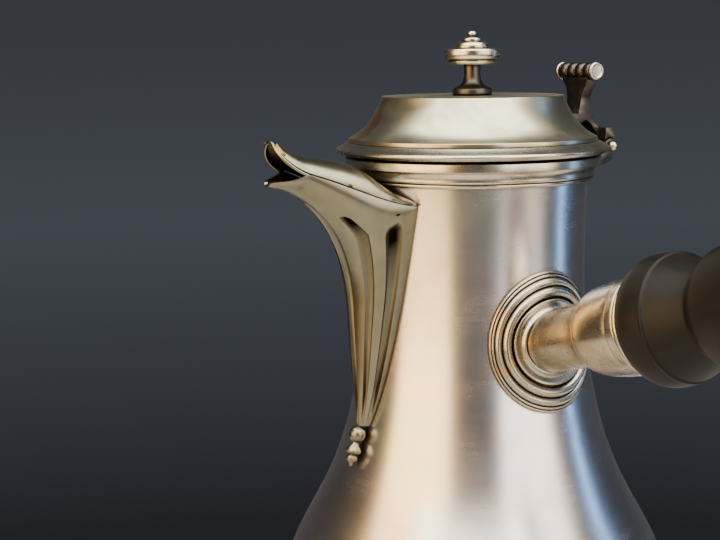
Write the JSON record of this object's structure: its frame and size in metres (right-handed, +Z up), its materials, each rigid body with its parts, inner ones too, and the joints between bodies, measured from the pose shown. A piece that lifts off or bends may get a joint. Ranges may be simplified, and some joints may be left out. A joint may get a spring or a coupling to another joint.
{
  "type": "coffee pot",
  "caption": "Pear-shaped silver coffee pot on feet, with a fluted beak spout, a hinged lid with finial and thumb roller, and a turned wooden side handle.",
  "frame": {"origin": "on the pot's upright axis, in the plane of the table under the feet", "axes": "+Z up along the pot's axis, -X towards the spout, +X towards the lid's hinge, handle close to -Y"},
  "size_m": [0.1444, 0.25, 0.2578],
  "materials": {
    "silver": "satin aged silver",
    "silver_dark": "oxidised silver",
    "wood": "dark turned wood, rubbed oil"
  },
  "bodies": {
    "pot": {"vessel": "silver", "rim_band": "silver", "rim_reed": "silver", "spout_shell": "silver", "spout_cover": "silver", "spout_drop": "silver", "foot_shield_1": "silver", "foot_shield_2": "silver", "foot_shield_3": "silver", "foot_1": "silver", "foot_2": "silver", "foot_3": "silver", "handle_plate": "silver", "handle_socket": "silver", "socket_collar": "silver_dark", "wooden_handle": "wood", "handle_pin": "silver", "hinge_bracket": "silver", "hinge_pin": "silver", "hinge_pin_ends": "silver"},
    "lid": {"lid_shell": "silver", "lid_flange": "silver", "lid_bezel": "silver", "lid_leaf": "silver_dark", "thumb_bracket": "silver_dark", "thumb_roller": "silver", "roller_caps": "silver", "finial_foot": "silver_dark", "finial_knob": "silver", "finial_screw": "silver", "finial_nut": "silver"}
  },
  "joints": [
    {"name": "lid_hinge", "type": "hinge", "parent": "pot", "child": "lid", "pos_m": [0.051, 0, 0.2179], "axis": [0, 1, 0], "range_deg": [0, 100]}
  ]
}
